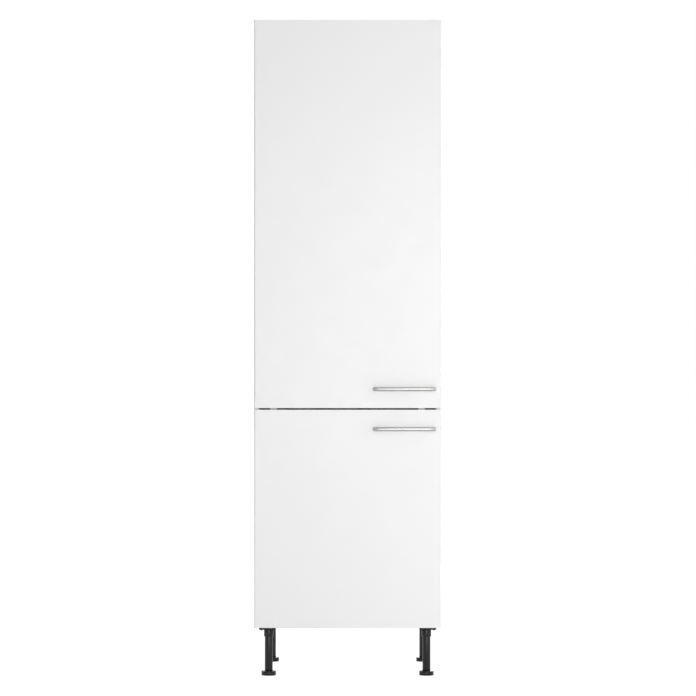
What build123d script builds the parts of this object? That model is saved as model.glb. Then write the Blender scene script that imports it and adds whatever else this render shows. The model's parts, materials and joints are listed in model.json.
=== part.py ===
from build123d import *
import os

# Tall kitchen cabinet on four adjustable legs, with a long upper door and a short lower door.
# X runs to the right, Y from the doors to the back, Z up. The origin is on the floor, under the
# middle of the whole box, handles included.

os.makedirs("parts", exist_ok=True)

# Cabinet
cabinet_width = 600
cabinet_height = 2112
leg_height = 158
carcass_depth = 566
panel_thickness = 16
cut_overrun = 5

# Flats that stand for a full circle on round pieces that repeat, and on the bores they sit in
shank_flat_count = 6
pin_flat_count = 8
grip_flat_count = 10
disc_flat_count = 12
handle_flat_count = 12
wide_flat_count = 20

# Doors
door_thickness = 16
door_gap = 2
door_side_reveal = 3
door_end_reveal = 2
door_joint = 5
lower_door_height = 700
door_edging = 1
door_edging_round = 0.8

# Back, in a groove all round and parted behind the fixed shelf
back_thickness = 3
back_groove_depth = 8
back_groove_inset = 12
back_fit = 0.2
strip_wall = 1
strip_height = 22

# Shelves
fixed_shelf_drop = 6
shelf_count_lower = 1
shelf_count_upper = 3
shelf_side_fit = 1
shelf_front_setback = 14
shelf_back_fit = 2

# Drilled rows for shelf pins and hinge plates
row_setback = 37
rear_row_inset = 98
row_pitch = 32
row_hole_radius = 2.5
row_hole_depth = 12
pin_fit = 0.1
pin_length_in = 9
pin_length_out = 8
pin_head_width = 7
pin_head_height = 6

# Cam fittings and dowels that join the fixed panels to the sides
cam_radius = 7.5
cam_depth = 12.4
cam_setback = 34
cam_slot_width = 1.6
cam_slot_length = 9
cam_slot_depth = 1.2
cam_end_inset = 60
bolt_radius = 3
bolt_side_depth = 11
dowel_radius = 4
dowel_side_depth = 10
dowel_panel_depth = 20
dowel_offset = 40
bore_fit = 0.15

# Door stops on the fixed shelf
stop_width = 21
stop_depth = 12
stop_height = 20
stop_side_inset = 35.8
stop_setback = 0.5
stop_corner = 1

# Handle: a round bar bent back to the door at both ends
handle_length = 204
handle_radius = 6
handle_reach = 32
handle_bend = 12
handle_side_inset = 12
handle_end_inset = 61.5
handle_thread_radius = 2
handle_thread_depth = 14
handle_screw_hole_radius = 2.3
handle_screw_head_radius = 4.5
handle_screw_head = 2.2
thread_fit = 0.1

# Concealed hinge: steel cup in the door, arm and plate on the left side, links between them
cup_radius = 17.5
cup_depth = 12.5
cup_edge_distance = 3
cup_fit = 0.2
cup_wall = 0.8
cup_plate = 1
cup_plate_length = 62
cup_plate_left = 11
cup_plate_right = 15
cup_plate_corner = 4
cup_screw_spacing = 48
cup_screw_offset = 9.5
cup_screw_radius = 1.5
cup_screw_length = 9
cup_screw_head_radius = 3.4
cup_screw_head = 1.4
cup_pin_edge_distance = 8
cup_pin_depth = 6
hinge_pin_radius = 0.9
hinge_pin_fit = 0.05
hinge_pin_end_fit = 0.1
link_eye_radius = 1.6
link_sheet = 1.2
link_width = 10
link_bend = 0.7
link_bow_shares = ((0.08, 0.36), (0.425, 0.392))
arm_pin_inset = 10.5
arm_pin_setback = 3
arm_sheet = 1.2
arm_width = 16
arm_height = 13
arm_foot = 3
arm_length = 64
arm_nose_radius = 2.4
arm_web_setback = 9
plate_thickness = 2.4
plate_length = 44
plate_setback = 16
plate_wing_length = 20
plate_wing_height = 52
plate_ridge_height = 10
plate_ridge_width = 12
plate_corner = 3
plate_screw_radius = 2.3
plate_screw_head_radius = 4
plate_screw_head = 2
plate_screw_length = 11
arm_screw_radius = 2.2
arm_screw_head_radius = 3.6
arm_screw_head = 1.6
arm_screw_front_setback = 26
arm_screw_rear_setback = 54
lower_hinge_shares = (0.14, 0.86)
upper_hinge_shares = (0.08, 0.45, 0.92)

# Soft pads that the doors close against
bumper_radius = 5
bumper_thickness = 1.4
bumper_end_inset = 30
bumper_side_inset = 7.5

# Angle brackets that hold the cabinet to a wall
bracket_side_inset = 104
bracket_width = 40
bracket_leg = 34
bracket_sheet = 2
bracket_hole_radius = 2.75
bracket_hole_setback = 22
bracket_screw_radius = 2
bracket_screw_head_radius = 4
bracket_screw_head = 1.8
bracket_screw_length = 12
wall_hole_radius = 4

# Adjustable legs
leg_side_inset = 45
leg_end_inset = 62
socket_base_width = 55
socket_base_height = 9
socket_base_offset = 4
socket_base_corner = 6
socket_radius = 15.5
socket_height = 24
socket_taper = 1.5
socket_floor = 4
tube_radius = 12.8
tube_wall = 2.4
tube_fit = 0.1
foot_radius = 23.5
foot_height = 14
foot_chamfer = 3
foot_rim_height = 5
foot_rim_chamfer = 1.2
foot_taper = 35
foot_stem_radius = 10
foot_stem_length = 60
foot_gap = 0.3
leg_screw_radius = 1.8
leg_screw_head_radius = 3.6
leg_screw_head = 2.4
leg_screw_bite = 10
leg_screw_inset = 8

# Places worked out from the sizes above
total_depth = carcass_depth + door_gap + door_thickness + handle_reach
carcass_front_y = handle_reach + door_thickness + door_gap - total_depth / 2
carcass_back_y = carcass_front_y + carcass_depth
carcass_mid_y = (carcass_front_y + carcass_back_y) / 2
carcass_height = cabinet_height - leg_height
inner_width = cabinet_width - 2 * panel_thickness
inner_left_x = -inner_width / 2
door_back_y = carcass_front_y - door_gap
door_front_y = door_back_y - door_thickness
back_face_y = carcass_back_y - back_groove_inset - back_thickness
lower_door_z = leg_height + door_end_reveal
upper_door_z = lower_door_z + lower_door_height + door_joint
upper_door_height = cabinet_height - door_end_reveal - upper_door_z
door_width = cabinet_width - 2 * door_side_reveal
door_left_x = -door_width / 2
bottom_top_z = leg_height + panel_thickness
top_under_z = cabinet_height - panel_thickness
fixed_shelf_top_z = lower_door_z + lower_door_height - fixed_shelf_drop
fixed_shelf_z = fixed_shelf_top_z - panel_thickness
fixed_shelf_back_y = back_face_y - back_fit - strip_wall


def evenly_between(low_z, high_z, count):
    """Undersides of count shelves that part the space from low_z to high_z evenly."""
    space = (high_z - low_z - count * panel_thickness) / (count + 1)
    return [low_z + space * (i + 1) + panel_thickness * i for i in range(count)]


lower_shelf_zs = evenly_between(bottom_top_z, fixed_shelf_z, shelf_count_lower)
upper_shelf_zs = evenly_between(fixed_shelf_top_z, top_under_z, shelf_count_upper)
shelf_zs = lower_shelf_zs + upper_shelf_zs
lower_hinge_zs = [lower_door_z + lower_door_height * share for share in lower_hinge_shares]
upper_hinge_zs = [upper_door_z + upper_door_height * share for share in upper_hinge_shares]
hinge_zs = lower_hinge_zs + upper_hinge_zs
row_ys = (carcass_front_y + row_setback, back_face_y - rear_row_inset)

# Places of the legs and their screws, seen from above
leg_x = cabinet_width / 2 - leg_side_inset
leg_ys = (carcass_front_y + leg_end_inset, carcass_back_y - leg_end_inset)
leg_places = {
    "front_left": (-leg_x, leg_ys[0]),
    "front_right": (leg_x, leg_ys[0]),
    "rear_left": (-leg_x, leg_ys[1]),
    "rear_right": (leg_x, leg_ys[1]),
}


def side_of(place):
    """-1 for a leg on the left, 1 for one on the right."""
    return 1 if place[0] > 0 else -1


base_places = [(x + side_of((x, y)) * socket_base_offset, y) for x, y in leg_places.values()]
screw_reach = socket_base_width / 2 - leg_screw_inset
leg_screw_places = [(x + sx * screw_reach, y + sy * screw_reach)
                    for x, y in base_places for sx in (-1, 1) for sy in (-1, 1)]
tube_top_z = leg_height - socket_floor
tube_bottom_z = foot_height + foot_gap

# Places of the wall brackets' holes
bracket_back_y = back_face_y - back_fit
bracket_screw_y = bracket_back_y - bracket_hole_setback
wall_hole_z = top_under_z - bracket_hole_setback
wall_hole_x = inner_width / 2 - bracket_side_inset
wall_hole_xs = (-wall_hole_x, wall_hole_x)
bracket_screw_places = [(x, bracket_screw_y) for x in wall_hole_xs]


def save(builder, name):
    """Label the finished piece and write it as its own STEP file."""
    builder.part.label = name
    export_step(builder.part, f"parts/{name}.step")


# Side panels

def joint_ys(back_y):
    """Front and rear places of the cam fittings in a panel that ends at back_y."""
    return (carcass_front_y + cam_end_inset, back_y - cam_end_inset)


def dowel_ys(back_y):
    """Places of the two dowels, between the cam fittings."""
    front, rear = joint_ys(back_y)
    return (front + dowel_offset, rear - dowel_offset)


fixed_panels = (
    (leg_height + panel_thickness / 2, carcass_back_y),
    (fixed_shelf_z + panel_thickness / 2, fixed_shelf_back_y),
    (cabinet_height - panel_thickness / 2, carcass_back_y),
)
bolt_places = [(y, z) for z, back_y in fixed_panels for y in joint_ys(back_y)]
dowel_places = [(y, z) for z, back_y in fixed_panels for y in dowel_ys(back_y)]
pin_places = [(y, z - pin_head_height / 2) for z in shelf_zs for y in row_ys]
pin_row_holes = [(y, z + row_pitch * step) for y, z in pin_places for step in (-1, 0, 1)]
plate_screw_zs = [z + row_pitch / 2 * side for z in hinge_zs for side in (-1, 1)]
plate_row_holes = [(row_ys[0], z) for z in plate_screw_zs]

with BuildPart() as side_panel_left:
    with BuildSketch(Plane.YZ.offset(-cabinet_width / 2)):
        with Locations((carcass_mid_y, leg_height + carcass_height / 2)):
            Rectangle(carcass_depth, carcass_height)
    extrude(amount=panel_thickness)
    inner_face = Plane.YZ.offset(inner_left_x)
    with BuildSketch(inner_face):
        with Locations((back_face_y + back_thickness / 2, leg_height + carcass_height / 2)):
            Rectangle(back_thickness + 2 * back_fit, carcass_height - 2 * panel_thickness
                      + 2 * back_groove_depth)
    extrude(amount=-back_groove_depth, mode=Mode.SUBTRACT)
    with BuildSketch(inner_face):
        with Locations(*bolt_places):
            RegularPolygon(bolt_radius + bore_fit, shank_flat_count)
    extrude(amount=-bolt_side_depth, mode=Mode.SUBTRACT)
    with BuildSketch(inner_face):
        with Locations(*dowel_places):
            RegularPolygon(dowel_radius + bore_fit, shank_flat_count)
    extrude(amount=-dowel_side_depth, mode=Mode.SUBTRACT)
    with BuildSketch(inner_face):
        with Locations(*pin_row_holes, *plate_row_holes):
            RegularPolygon(row_hole_radius, shank_flat_count)
    extrude(amount=-row_hole_depth, mode=Mode.SUBTRACT)
save(side_panel_left, "side_panel_left")

with BuildPart() as side_panel_right:
    mirror(side_panel_left.part, about=Plane.YZ)
save(side_panel_right, "side_panel_right")


# Top, bottom and fixed shelf, joined to the sides by cams, bolts and dowels

def cam_places(back_y):
    """Cam centres in a panel that ends at back_y, seen from above."""
    cam_x = inner_width / 2 - cam_setback
    return [(side * cam_x, y) for side in (-1, 1) for y in joint_ys(back_y)]


def make_fixed_panel(low_z, back_y, cam_face_z, grooved_face_z=None):
    """A panel between the sides; cams open to cam_face_z, the back's groove to grooved_face_z."""
    mid_z = low_z + panel_thickness / 2
    depth = back_y - carcass_front_y
    cam_side = 1 if cam_face_z > mid_z else -1
    with BuildPart() as panel:
        with Locations((0, carcass_front_y + depth / 2, mid_z)):
            Box(inner_width, depth, panel_thickness)
        with BuildSketch(Plane.XY.offset(cam_face_z)):
            with Locations(*cam_places(back_y)):
                RegularPolygon(cam_radius + bore_fit, disc_flat_count)
        extrude(amount=-cam_side * cam_depth, mode=Mode.SUBTRACT)
        for side in (-1, 1):
            with BuildSketch(Plane.YZ.offset(side * inner_width / 2)):
                with Locations(*[(y, mid_z) for y in joint_ys(back_y)]):
                    RegularPolygon(bolt_radius + bore_fit, shank_flat_count)
            extrude(amount=-side * cam_setback, mode=Mode.SUBTRACT)
            with BuildSketch(Plane.YZ.offset(side * inner_width / 2)):
                with Locations(*[(y, mid_z) for y in dowel_ys(back_y)]):
                    RegularPolygon(dowel_radius + bore_fit, shank_flat_count)
            extrude(amount=-side * dowel_panel_depth, mode=Mode.SUBTRACT)
        if grooved_face_z is not None:
            groove_side = 1 if grooved_face_z > mid_z else -1
            with BuildSketch(Plane.XY.offset(grooved_face_z)):
                with Locations((0, back_face_y + back_thickness / 2)):
                    Rectangle(inner_width, back_thickness + 2 * back_fit)
            extrude(amount=-groove_side * back_groove_depth, mode=Mode.SUBTRACT)
    return panel


with BuildPart() as bottom_panel:
    add(make_fixed_panel(leg_height, carcass_back_y, leg_height, bottom_top_z).part)
    with BuildSketch(Plane.XY.offset(leg_height)):
        with Locations(*leg_screw_places):
            RegularPolygon(leg_screw_radius + bore_fit, shank_flat_count)
    extrude(amount=leg_screw_bite, mode=Mode.SUBTRACT)
save(bottom_panel, "bottom_panel")

with BuildPart() as top_panel:
    add(make_fixed_panel(top_under_z, carcass_back_y, cabinet_height, top_under_z).part)
    with BuildSketch(Plane.XY.offset(top_under_z)):
        with Locations(*bracket_screw_places):
            RegularPolygon(bracket_screw_radius + bore_fit, shank_flat_count)
    extrude(amount=bracket_screw_length, mode=Mode.SUBTRACT)
save(top_panel, "top_panel")

fixed_shelf = make_fixed_panel(fixed_shelf_z, fixed_shelf_back_y, fixed_shelf_z)
save(fixed_shelf, "fixed_shelf")

# Each cam disc's open face, and which way it faces
cam_faces = (
    (leg_height, -1, carcass_back_y),
    (fixed_shelf_z, -1, fixed_shelf_back_y),
    (cabinet_height, 1, carcass_back_y),
)

with BuildPart() as cam_discs:
    for face_z, facing, back_y in cam_faces:
        with BuildSketch(Plane.XY.offset(face_z)):
            with Locations(*cam_places(back_y)):
                RegularPolygon(cam_radius, disc_flat_count)
        extrude(amount=-facing * cam_depth)
        with BuildSketch(Plane.XY.offset(face_z)):
            with Locations(*cam_places(back_y)):
                Rectangle(cam_slot_length, cam_slot_width)
        extrude(amount=-facing * cam_slot_depth, mode=Mode.SUBTRACT)
save(cam_discs, "cam_discs")

with BuildPart() as cam_bolts:
    for side in (-1, 1):
        with BuildSketch(Plane.YZ.offset(side * (inner_width / 2 + bolt_side_depth))):
            with Locations(*bolt_places):
                RegularPolygon(bolt_radius, shank_flat_count)
        extrude(amount=-side * (bolt_side_depth + cam_setback - cam_radius - bore_fit))
save(cam_bolts, "cam_bolts")

with BuildPart() as dowels:
    for side in (-1, 1):
        with BuildSketch(Plane.YZ.offset(side * (inner_width / 2 + dowel_side_depth))):
            with Locations(*dowel_places):
                RegularPolygon(dowel_radius, shank_flat_count)
        extrude(amount=-side * (dowel_side_depth + dowel_panel_depth))
save(dowels, "dowels")

# Back: a lower and an upper sheet, held together by a strip behind the fixed shelf
strip_mid_z = fixed_shelf_z + panel_thickness / 2
back_width = inner_width + 2 * (back_groove_depth - back_fit)
lower_back_z = bottom_top_z - back_groove_depth + back_fit
upper_back_top_z = top_under_z + back_groove_depth - back_fit

with BuildPart() as back_panel_lower:
    with BuildSketch(Plane.XZ.offset(-back_face_y)):
        height = strip_mid_z - strip_wall / 2 - lower_back_z
        with Locations((0, lower_back_z + height / 2)):
            Rectangle(back_width, height)
    extrude(amount=-back_thickness)
save(back_panel_lower, "back_panel_lower")

with BuildPart() as back_panel_upper:
    with BuildSketch(Plane.XZ.offset(-back_face_y)):
        height = upper_back_top_z - strip_mid_z - strip_wall / 2
        with Locations((0, upper_back_top_z - height / 2)):
            Rectangle(back_width, height)
        with Locations(*[(x, wall_hole_z) for x in wall_hole_xs]):
            RegularPolygon(wall_hole_radius, disc_flat_count, mode=Mode.SUBTRACT)
    extrude(amount=-back_thickness)
save(back_panel_upper, "back_panel_upper")

with BuildPart() as back_joint_strip:
    with BuildSketch(Plane.YZ.offset(inner_left_x)):
        with Locations((back_face_y + back_thickness / 2, strip_mid_z)):
            Rectangle(back_thickness, strip_wall)
        with Locations((back_face_y - strip_wall / 2, strip_mid_z),
                       (back_face_y + back_thickness + strip_wall / 2, strip_mid_z)):
            Rectangle(strip_wall, strip_height)
    extrude(amount=inner_width)
save(back_joint_strip, "back_joint_strip")

# Adjustable shelves on pins
shelf_width = inner_width - 2 * shelf_side_fit
shelf_front_y = carcass_front_y + shelf_front_setback
shelf_back_y = back_face_y - shelf_back_fit
shelf_names = [f"shelf_lower_{i + 1}" for i in range(shelf_count_lower)]
shelf_names += [f"shelf_upper_{i + 1}" for i in range(shelf_count_upper)]

for shelf_name, shelf_z in zip(shelf_names, shelf_zs):
    with BuildPart() as shelf:
        with Locations((0, (shelf_front_y + shelf_back_y) / 2, shelf_z + panel_thickness / 2)):
            Box(shelf_width, shelf_back_y - shelf_front_y, panel_thickness)
    save(shelf, shelf_name)

with BuildPart() as shelf_pins:
    for side in (-1, 1):
        with BuildSketch(Plane.YZ.offset(side * inner_width / 2)):
            with Locations(*pin_places):
                RegularPolygon(row_hole_radius - pin_fit, shank_flat_count)
        extrude(amount=side * pin_length_in)
        with BuildSketch(Plane.YZ.offset(side * inner_width / 2)):
            with Locations(*pin_places):
                Rectangle(pin_head_width, pin_head_height)
        extrude(amount=-side * pin_length_out)
save(shelf_pins, "shelf_pins")

# Door stops: two blocks on the front of the fixed shelf, behind the joint between the doors
stop_x = inner_width / 2 - stop_side_inset - stop_width / 2
stop_y = carcass_front_y + stop_setback + stop_depth / 2

with BuildPart() as door_stops:
    with BuildSketch(Plane.XY.offset(fixed_shelf_top_z)) as stop_outline:
        with Locations((-stop_x, stop_y), (stop_x, stop_y)):
            Rectangle(stop_width, stop_depth)
        chamfer(stop_outline.vertices(), stop_corner)
    extrude(amount=stop_height)
save(door_stops, "door_stops")


# Hinges. A hinge place is given as the distance to the right of the left side's inner face and
# the distance outwards, towards the viewer, from the carcass front.

def hinge_place(right, outwards):
    """A place in the hinge's own distances, as X and Y."""
    return (inner_left_x + right, carcass_front_y - outwards)


door_edge_right = door_left_x - inner_left_x
arm_pin = hinge_place(arm_pin_inset, -arm_pin_setback)
cup_pin = hinge_place(door_edge_right + cup_pin_edge_distance, door_gap + cup_pin_depth)
cup_centre = hinge_place(door_edge_right + cup_edge_distance + cup_radius, door_gap)

# The gooseneck's route, from the cup's pin to the arm's pin, bowed into the cup. As the door opens
# to 110 degrees the link turns back by 0.3 degrees for each degree, and its bow goes round the
# door's rim beside the cup.
link_chord = Vector(*arm_pin) - Vector(*cup_pin)
link_side = Vector(-link_chord.Y, link_chord.X) * -1
link_route = [Vector(*cup_pin)]
for along_share, bow_share in link_bow_shares:
    link_route.append(Vector(*cup_pin) + link_chord * along_share + link_side * bow_share)
link_route.append(Vector(*arm_pin))


def make_links(zs):
    """One gooseneck link for each hinge height, with an eye for a pin at each end."""
    with BuildPart() as links:
        for z in zs:
            with BuildSketch(Plane.XY.offset(z - link_width / 2)):
                with BuildLine():
                    FilletPolyline(*link_route, radius=link_bend)
                trace(line_width=link_sheet)
                with Locations(cup_pin, arm_pin):
                    RegularPolygon(link_eye_radius, pin_flat_count)
                    RegularPolygon(hinge_pin_radius + hinge_pin_fit, pin_flat_count, major_radius=False,
                                   mode=Mode.SUBTRACT)
            extrude(amount=link_width)
    return links


with BuildPart() as hinge_plates:
    for z in hinge_zs:
        plate_front_y = carcass_front_y + plate_setback
        with BuildSketch(Plane.YZ.offset(inner_left_x)) as plate_outline:
            with Locations((plate_front_y + plate_length / 2, z)):
                Rectangle(plate_length, plate_ridge_width + 2 * plate_corner)
            with Locations((row_ys[0], z)):
                Rectangle(plate_wing_length, plate_wing_height)
            wing_rows = plate_outline.vertices().group_by(Axis.Y)
            chamfer(wing_rows[0] + wing_rows[-1], plate_corner)
            with Locations(*[(row_ys[0], z + row_pitch / 2 * side) for side in (-1, 1)]):
                RegularPolygon(plate_screw_radius + bore_fit, shank_flat_count, mode=Mode.SUBTRACT)
        extrude(amount=plate_thickness)
        with BuildSketch(Plane.YZ.offset(inner_left_x + plate_thickness)):
            with Locations((plate_front_y + plate_length / 2, z)):
                Rectangle(plate_length, plate_ridge_width)
        extrude(amount=plate_ridge_height - plate_thickness)
save(hinge_plates, "hinge_plates")

with BuildPart() as plate_screws:
    with BuildSketch(Plane.YZ.offset(inner_left_x + plate_thickness)):
        with Locations(*plate_row_holes):
            RegularPolygon(plate_screw_head_radius, shank_flat_count)
    extrude(amount=plate_screw_head)
    with BuildSketch(Plane.YZ.offset(inner_left_x + plate_thickness)):
        with Locations(*plate_row_holes):
            RegularPolygon(plate_screw_radius, shank_flat_count)
    extrude(amount=-plate_screw_length)
save(plate_screws, "plate_screws")

arm_rear_y = carcass_front_y + arm_length
arm_screw_ys = (carcass_front_y + arm_screw_front_setback, carcass_front_y + arm_screw_rear_setback)

with BuildPart() as hinge_arms:
    for z in hinge_zs:
        with BuildSketch(Plane.XY.offset(z - arm_width / 2)):
            with BuildLine():
                Polyline(
                    (inner_left_x + arm_foot, arm_rear_y),
                    (inner_left_x + arm_height, arm_rear_y),
                    (inner_left_x + arm_height, carcass_front_y + arm_web_setback),
                    (arm_pin[0] + arm_nose_radius, arm_pin[1]),
                    (arm_pin[0] - arm_nose_radius, arm_pin[1]),
                    (inner_left_x + arm_foot, carcass_front_y + plate_setback),
                    close=True,
                )
            make_face()
            with Locations(arm_pin):
                RegularPolygon(arm_nose_radius, pin_flat_count)
        extrude(amount=arm_width)
        with BuildSketch(Plane.XY.offset(z - arm_width / 2 + arm_sheet)):
            with Locations((inner_left_x + (arm_height - arm_sheet) / 2, carcass_front_y + arm_length / 2)):
                Rectangle(arm_height - arm_sheet, arm_length + 2 * cut_overrun)
            with Locations((inner_left_x + arm_height / 2, carcass_front_y)):
                Rectangle(arm_height + 2 * cut_overrun, 2 * arm_web_setback)
        extrude(amount=arm_width - 2 * arm_sheet, mode=Mode.SUBTRACT)
        with BuildSketch(Plane.XY.offset(z - arm_width / 2)):
            with Locations(arm_pin):
                RegularPolygon(hinge_pin_radius + hinge_pin_fit, pin_flat_count, major_radius=False)
        extrude(amount=arm_width, mode=Mode.SUBTRACT)
        with BuildSketch(Plane.YZ.offset(inner_left_x + arm_height)):
            with Locations(*[(y, z) for y in arm_screw_ys]):
                RegularPolygon(arm_screw_radius + bore_fit, shank_flat_count)
        extrude(amount=-arm_sheet, mode=Mode.SUBTRACT)
save(hinge_arms, "hinge_arms")

with BuildPart() as arm_pins:
    for z in hinge_zs:
        with BuildSketch(Plane.XY.offset(z - arm_width / 2)):
            with Locations(arm_pin):
                RegularPolygon(hinge_pin_radius, pin_flat_count)
        extrude(amount=arm_width)
save(arm_pins, "arm_pins")

with BuildPart() as arm_screws:
    arm_screw_places = [(y, z) for z in hinge_zs for y in arm_screw_ys]
    with BuildSketch(Plane.YZ.offset(inner_left_x + plate_ridge_height)):
        with Locations(*arm_screw_places):
            RegularPolygon(arm_screw_radius, shank_flat_count)
    extrude(amount=arm_height - plate_ridge_height)
    with BuildSketch(Plane.YZ.offset(inner_left_x + arm_height)):
        with Locations(*arm_screw_places):
            RegularPolygon(arm_screw_head_radius, shank_flat_count)
    extrude(amount=arm_screw_head)
save(arm_screws, "arm_screws")


# Doors

handle_span = handle_length - 2 * handle_radius
handle_right_x = door_left_x + door_width - handle_side_inset - handle_radius
handle_xs = (handle_right_x - handle_span, handle_right_x)
bar_y = door_front_y - handle_reach + handle_radius


def cup_screw_places(z):
    """The two screws of the cup at height z, as X and Z."""
    return [(cup_centre[0] + cup_screw_offset, z + cup_screw_spacing / 2 * side) for side in (-1, 1)]


def make_slab(low_z, height, zs, handle_z):
    """The door's core, bored for its cups, their screws and the handle's screws."""
    with BuildPart() as slab:
        with Locations((0, door_back_y - door_thickness / 2, low_z + height / 2)):
            Box(door_width - 2 * door_edging, door_thickness, height - 2 * door_edging)
        with BuildSketch(Plane.XZ.offset(-door_back_y)):
            with Locations(*[(cup_centre[0], z) for z in zs]):
                RegularPolygon(cup_radius, wide_flat_count)
        extrude(amount=cup_depth, mode=Mode.SUBTRACT)
        with BuildSketch(Plane.XZ.offset(-door_back_y)):
            for z in zs:
                with Locations(*cup_screw_places(z)):
                    RegularPolygon(cup_screw_radius + bore_fit, shank_flat_count)
        extrude(amount=cup_screw_length, mode=Mode.SUBTRACT)
        with BuildSketch(Plane.XZ.offset(-door_back_y)):
            with Locations(*[(x, handle_z) for x in handle_xs]):
                RegularPolygon(handle_screw_hole_radius, shank_flat_count)
        extrude(amount=door_thickness, mode=Mode.SUBTRACT)
    return slab


def make_edging(low_z, height):
    """The band glued round the door's four edges, rounded to the front and the back."""
    with BuildPart() as edging:
        with Locations((0, door_back_y - door_thickness / 2, low_z + height / 2)):
            Box(door_width, door_thickness, height)
        long_edges = edging.edges().filter_by(Axis.Y, reverse=True)
        fillet(long_edges, door_edging_round)
        with Locations((0, door_back_y - door_thickness / 2, low_z + height / 2)):
            Box(door_width - 2 * door_edging, door_thickness + 2 * cut_overrun,
                height - 2 * door_edging, mode=Mode.SUBTRACT)
    return edging


def make_handle(handle_z):
    """The bar, bent back to the door at both ends and tapped for its screws."""
    with BuildPart() as handle:
        with BuildLine(Plane.XY.offset(handle_z)) as route:
            FilletPolyline(
                (handle_xs[0], door_front_y),
                (handle_xs[0], bar_y),
                (handle_xs[1], bar_y),
                (handle_xs[1], door_front_y),
                radius=handle_bend,
            )
        with BuildSketch(Plane(origin=route.line @ 0, z_dir=route.line % 0)):
            RegularPolygon(handle_radius, handle_flat_count)
        sweep()
        with BuildSketch(Plane.XZ.offset(-door_front_y)):
            with Locations(*[(x, handle_z) for x in handle_xs]):
                RegularPolygon(handle_thread_radius, shank_flat_count)
        extrude(amount=handle_thread_depth, mode=Mode.SUBTRACT)
    return handle


def make_handle_screws(handle_z):
    """Two screws through the door into the handle, with their heads on the door's back."""
    places = [(x, handle_z) for x in handle_xs]
    with BuildPart() as screws:
        with BuildSketch(Plane.XZ.offset(-door_back_y)):
            with Locations(*places):
                RegularPolygon(handle_thread_radius - thread_fit, shank_flat_count)
        extrude(amount=door_thickness + handle_thread_depth - thread_fit)
        with BuildSketch(Plane.XZ.offset(-door_back_y)):
            with Locations(*places):
                RegularPolygon(handle_screw_head_radius, shank_flat_count)
        extrude(amount=-handle_screw_head)
    return screws


def make_cups(zs):
    """Steel cups with a screw plate, sunk in the door's back."""
    with BuildPart() as cups:
        for z in zs:
            with BuildSketch(Plane.XZ.offset(-door_back_y)) as plate_outline:
                with Locations((cup_centre[0] + (cup_plate_right - cup_plate_left) / 2, z)):
                    Rectangle(cup_plate_left + cup_plate_right, cup_plate_length)
                chamfer(plate_outline.vertices(), cup_plate_corner)
                with Locations(*cup_screw_places(z)):
                    RegularPolygon(cup_screw_radius + bore_fit, shank_flat_count, mode=Mode.SUBTRACT)
            extrude(amount=-cup_plate)
            with BuildSketch(Plane.XZ.offset(-door_back_y)):
                with Locations((cup_centre[0], z)):
                    RegularPolygon(cup_radius - cup_fit, wide_flat_count)
            extrude(amount=cup_depth - cup_fit)
            with BuildSketch(Plane.XZ.offset(-door_back_y + cup_depth - cup_fit - cup_wall)):
                with Locations((cup_centre[0], z)):
                    RegularPolygon(cup_radius - cup_fit - cup_wall, wide_flat_count, major_radius=False)
            extrude(amount=-cup_depth - cut_overrun, mode=Mode.SUBTRACT)
    return cups


def make_cup_pins(zs):
    """The pins that the links turn on, from wall to wall of each cup."""
    off_centre = cup_centre[0] - cup_pin[0]
    inner_radius = cup_radius - cup_fit - cup_wall
    half_length = (inner_radius ** 2 - (off_centre + hinge_pin_radius) ** 2) ** 0.5 - hinge_pin_end_fit
    with BuildPart() as pins:
        for z in zs:
            with BuildSketch(Plane.XY.offset(z - half_length)):
                with Locations(cup_pin):
                    RegularPolygon(hinge_pin_radius, pin_flat_count)
            extrude(amount=2 * half_length)
    return pins


def make_cup_screws(zs):
    """Two screws that hold each cup's plate to the door."""
    places = [place for z in zs for place in cup_screw_places(z)]
    with BuildPart() as screws:
        with BuildSketch(Plane.XZ.offset(-door_back_y - cup_plate)):
            with Locations(*places):
                RegularPolygon(cup_screw_head_radius, shank_flat_count)
        extrude(amount=-cup_screw_head)
        with BuildSketch(Plane.XZ.offset(-door_back_y - cup_plate)):
            with Locations(*places):
                RegularPolygon(cup_screw_radius, shank_flat_count)
        extrude(amount=cup_screw_length)
    return screws


def make_bumpers(low_z, height):
    """Two soft pads at the door's free edge, where it meets the right side's front edge."""
    pad_x = door_left_x + door_width - bumper_side_inset
    places = [(pad_x, low_z + bumper_end_inset), (pad_x, low_z + height - bumper_end_inset)]
    with BuildPart() as bumpers:
        with BuildSketch(Plane.XZ.offset(-door_back_y)):
            with Locations(*places):
                RegularPolygon(bumper_radius, disc_flat_count)
        extrude(amount=-bumper_thickness)
    return bumpers


door_list = (
    ("lower", lower_door_z, lower_door_height, lower_hinge_zs,
     lower_door_z + lower_door_height - handle_end_inset),
    ("upper", upper_door_z, upper_door_height, upper_hinge_zs, upper_door_z + handle_end_inset),
)
for door_name, low_z, height, zs, handle_z in door_list:
    save(make_slab(low_z, height, zs, handle_z), f"{door_name}_door")
    save(make_edging(low_z, height), f"{door_name}_door_edging")
    save(make_handle(handle_z), f"{door_name}_handle")
    save(make_handle_screws(handle_z), f"{door_name}_handle_screws")
    save(make_cups(zs), f"{door_name}_hinge_cups")
    save(make_cup_pins(zs), f"{door_name}_cup_pins")
    save(make_cup_screws(zs), f"{door_name}_cup_screws")
    save(make_bumpers(low_z, height), f"{door_name}_door_bumpers")
    save(make_links(zs), f"{door_name}_hinge_links")

# Wall brackets, under the top panel and against the back

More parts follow.
